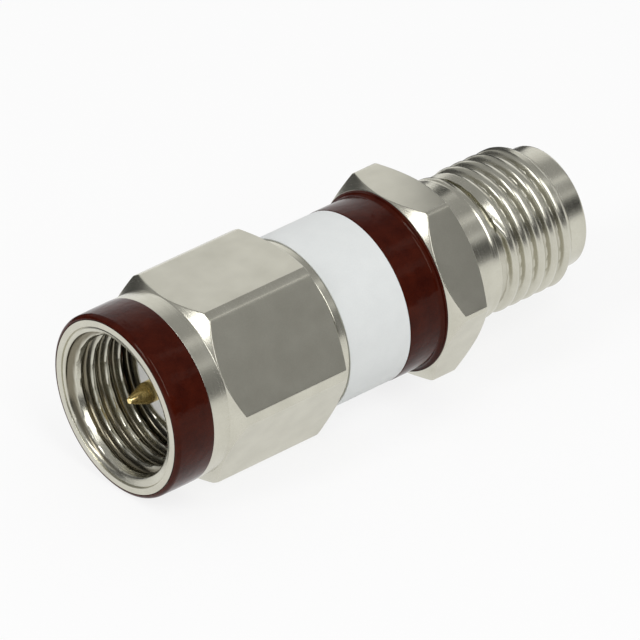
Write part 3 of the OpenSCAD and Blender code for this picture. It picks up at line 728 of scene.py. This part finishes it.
# the pin's outline turned about the axis, with the tail's upper side cut flat
def plugPin():
    start, end = span("plug_pin")
    angle = np.linspace(0, 2 * math.pi, pin["steps"], endpoint=False)
    wide, collar = pin["conductorRadius"], pin["collarRadius"]
    shoulder = contactPlane + pin["recess"]
    collarEnd = pin["collarEnd"]
    collarStart = collarEnd - pin["collarLength"]
    tailStart = end - pin["tailLength"]
    corners = [
        (start, pin["poleRadius"], 0.0), (start, pin["tipRadius"], pin["tipSoft"]),
        (start + pin["taper"], pin["radius"], pin["taperSoft"]),
        (shoulder, pin["radius"], pin["footSoft"]), (shoulder, wide, pin["edgeSoft"]),
        (collarStart, wide, pin["innerSoft"]), (collarStart, collar, pin["edgeSoft"]),
        (collarEnd, collar, pin["edgeSoft"]), (collarEnd, wide, pin["innerSoft"]),
        (tailStart, wide, 0.0), (tailStart + pin["tailStep"], wide, 0.0),
        (end, wide, 0.0), (end, pin["poleRadius"], 0.0)]
    s, r = softOutline(corners, closed=False, columns=angle.size)
    points = turnedPoints(s, r, angle[None, :])
    flat = np.minimum(points[..., 2], axisZ + pin["tailFlat"] * mm)
    points[..., 2] = np.where(s > tailStart, flat, points[..., 2])
    ends = [(mouthX + start * mm, 0, axisZ), (mouthX + end * mm, 0, axisZ)]
    mesh = gridMesh("centre_pin", points, closedRows=False, poles=ends)
    addPiece(mesh, goldFinish, "body", "gold", "plug_pin")


plugPin()

# CAD nodes that keep their own shape get their finish
finishes = {
    "steel": steelFinish, "gold": goldFinish, "dielectric": dielectricFinish,
    "bronze": bronzeFinish, "ceramic": ceramicFinish, "seal": sealFinish}
replaced = ("coupling_nut", "body_shell", "nut_colour_band", "body_colour_band", "label_wrap", "plug_pin")
for subpart in frame["record"]["subparts"]:
    if subpart["node"] not in replaced:
        mesh = frame["nodes"][subpart["node"]].data
        mesh.materials.clear()
        mesh.materials.append(finishes[subpart["material_slot"]])
print("carried nodes finished")

# studio: a pale floor, a white surround, two soft boxes beside the camera, and a tent over the part that
# only shows in the metal
studio = dict(
    floorSize=0.8, floorColour=(0.9, 0.9, 0.9, 1), floorRoughness=0.9, floorGlow=0.82,
    white=(1, 1, 1, 1), surround=0.6, mirrored=0.4,
    leftPlace=(-0.232, 0.017, 0.174), leftSize=(0.07, 0.16), leftPower=0.2,
    rightPlace=(-0.055, -0.19, 0.212), rightSize=(0.08, 0.24), rightPower=0.27)


# 1 for a ray that sees the floor itself: the largest of its camera, glossy and transmission marks
def whiteSeen(tree):
    path = addNode(tree, "ShaderNodeLightPath").outputs
    seen = mathNode(tree, "MAXIMUM", path["Is Camera Ray"], path["Is Glossy Ray"])
    return mathNode(tree, "MAXIMUM", seen, path["Is Transmission Ray"])


# the floor is a square whose finish gives way to a white glow, by the glow's share, where it is seen
def studioFloor():
    half = studio["floorSize"] / 2
    corners = [(-half, -half, 0), (half, -half, 0), (half, half, 0), (-half, half, 0)]
    mesh = bpy.data.meshes.new("floor")
    mesh.from_pydata(corners, [], [(0, 1, 2, 3)])
    floor = linkObject("floor", mesh)
    material, tree, shader = newMaterial(
        "floor_white", **{"Base Color": studio["floorColour"], "Roughness": studio["floorRoughness"]})
    glow = addNode(tree, "ShaderNodeEmission", {"Color": studio["white"], "Strength": 1.0})
    factor = mathNode(tree, "MULTIPLY", whiteSeen(tree), studio["floorGlow"])
    blend = addNode(tree, "ShaderNodeMixShader", {0: factor, 1: shader.outputs[0], 2: glow.outputs[0]})
    tree.links.new(blend.outputs[0], tree.nodes["Material Output"].inputs[0])
    mesh.materials.append(material)


# the surround's strength is 1 where it is seen, mirrored in reflections, and surround for all other light
def studioWorld():
    world = bpy.data.worlds.new("surround")
    bpy.context.scene.world = world
    world.use_nodes = True
    tree = world.node_tree
    path = addNode(tree, "ShaderNodeLightPath").outputs
    clear = mathNode(tree, "MAXIMUM", path["Is Camera Ray"], path["Is Transmission Ray"])
    strength = mixValue(
        tree, path["Is Glossy Ray"], rangeNode(tree, clear, 0, 1, studio["surround"]), studio["mirrored"])
    background = tree.nodes["Background"]
    background.inputs[0].default_value = studio["white"]
    tree.links.new(strength, background.inputs[1])


# a soft box that faces the part: its aim is the middle of the axis less its own place
def softLamp(name, place, size, power):
    lamp = bpy.data.lights.new(name, "AREA")
    lamp.shape = "RECTANGLE"
    lamp.size, lamp.size_y = size
    lamp.energy = power
    holder = linkObject(name, lamp)
    holder.location = place
    aim = Vector((0, 0, axisZ)) - Vector(place)
    holder.rotation_euler = aim.to_track_quat("-Z", "Y").to_euler()


# the tent: panels and gaps along the part's axis, given as pairs of turn and grey. Turn 0 is level behind
# the part, 90 straight above it and 180 level in front of it
tent = dict(
    radius=0.085, left=0.03, right=0.26,
    panels=(
        (-3, 1.0), (16, 1.1), (40, 1.0), (50, 0.9), (62, 0.7), (72, 0.4), (106, 0.38), (110, 1.0),
        (114, 1.0), (118, 0.42), (136, 0.42), (139, 0.8), (144, 0.8), (148, 0.26), (183, 0.24)))


# a sheet of the studio between two rows of points that only reflections see, with each point's grey as glow
def mirroredSheet(name, points, greys):
    mesh = bpy.data.meshes.new(name)
    columns = len(points) // 2
    first = np.arange(columns - 1)
    faces = np.stack([first, first + 1, first + 1 + columns, first + columns], -1)
    mesh.from_pydata(points.tolist(), [], faces.tolist())
    addAttribute(mesh, "grey", greys)
    material, tree = newMaterial(name)[:2]
    glow = addNode(
        tree, "ShaderNodeEmission", {"Color": studio["white"], "Strength": attributeNode(tree, "grey")})
    tree.links.new(glow.outputs[0], tree.nodes["Material Output"].inputs[0])
    mesh.materials.append(material)
    sheet = linkObject(name, mesh)
    sheet.visible_camera = False
    sheet.visible_diffuse = False
    sheet.visible_shadow = False
    sheet.visible_transmission = False


# a part of a tube round the axis: the radius times the cosine behind the axis and times the sine above it
def studioTent():
    turn, grey = np.transpose(tent["panels"])
    turn = np.radians(turn)
    y, z = tent["radius"] * np.cos(turn), axisZ + tent["radius"] * np.sin(turn)
    ends = [np.stack([np.full_like(y, x), y, z], -1) for x in (tent["left"], tent["right"])]
    mirroredSheet("tent", np.concatenate(ends), np.concatenate([grey, grey]))


# small dark cards round the part, each upright along the axis: from x to x, its y, and from z to z
cards = [
    dict(name="card_jack", x=(0.016, 0.05), y=0.02, z=(0.0002, 0.009), grey=0.1),
    dict(name="card_thread", x=(0.0112, 0.0156), y=0.0075, z=(0.0002, 0.02), grey=0.08),
    dict(name="card_front", x=(0.0148, 0.026), y=-0.018, z=(0.007, 0.0135), grey=0.05),
    dict(name="card_low", x=(-0.06, 0.028), y=-0.08, z=(0.006, 0.034), grey=0.05),
    dict(name="card_flange", x=(-0.07, 0.002), y=0.03, z=(0.0002, 0.014), grey=0.08)]


# a card is the sheet between its lower and its upper edge, with one grey
def studioCard(card):
    corners = np.array([(x, card["y"], z) for z in card["z"] for x in card["x"]])
    mirroredSheet(card["name"], corners, np.full(len(corners), card["grey"]))


studioFloor()
studioWorld()
for side in ("left", "right"):
    softLamp("soft_box_" + side, studio[side + "Place"], studio[side + "Size"], studio[side + "Power"])
studioTent()
for card in cards:
    studioCard(card)
print("studio set")

# camera: azimuth 0 looks along +Y, the roll turns the camera about its line of sight
shot = dict(
    azimuth=-38.67, elevation=31.37, roll=2.64, distance=0.32546, target=(-0.000647, 0.000123, 0.003495),
    lens=450, sensor=36, nearest=0.01)


# the camera stands at the target plus the distance times its direction, which is the azimuth's sine and
# cosine times the elevation's cosine, and the elevation's sine upwards
def photoCamera():
    turn, lift = math.radians(shot["azimuth"]), math.radians(shot["elevation"])
    toCamera = Vector((math.sin(turn) * math.cos(lift), -math.cos(turn) * math.cos(lift), math.sin(lift)))
    data = bpy.data.cameras.new("photo_camera")
    data.lens = shot["lens"]
    data.sensor_width = shot["sensor"]
    data.clip_start = shot["nearest"]
    camera = linkObject("photo_camera", data)
    look = toCamera.to_track_quat("Z", "Y").to_matrix().to_4x4()
    spin = Matrix.Rotation(math.radians(-shot["roll"]), 4, "Z")
    place = Matrix.Translation(Vector(shot["target"]) + toCamera * shot["distance"])
    camera.matrix_world = place @ look @ spin
    bpy.context.scene.camera = camera


photoCamera()
bpy.context.scene.view_settings.view_transform = "Standard"

bpy.context.view_layer.update()
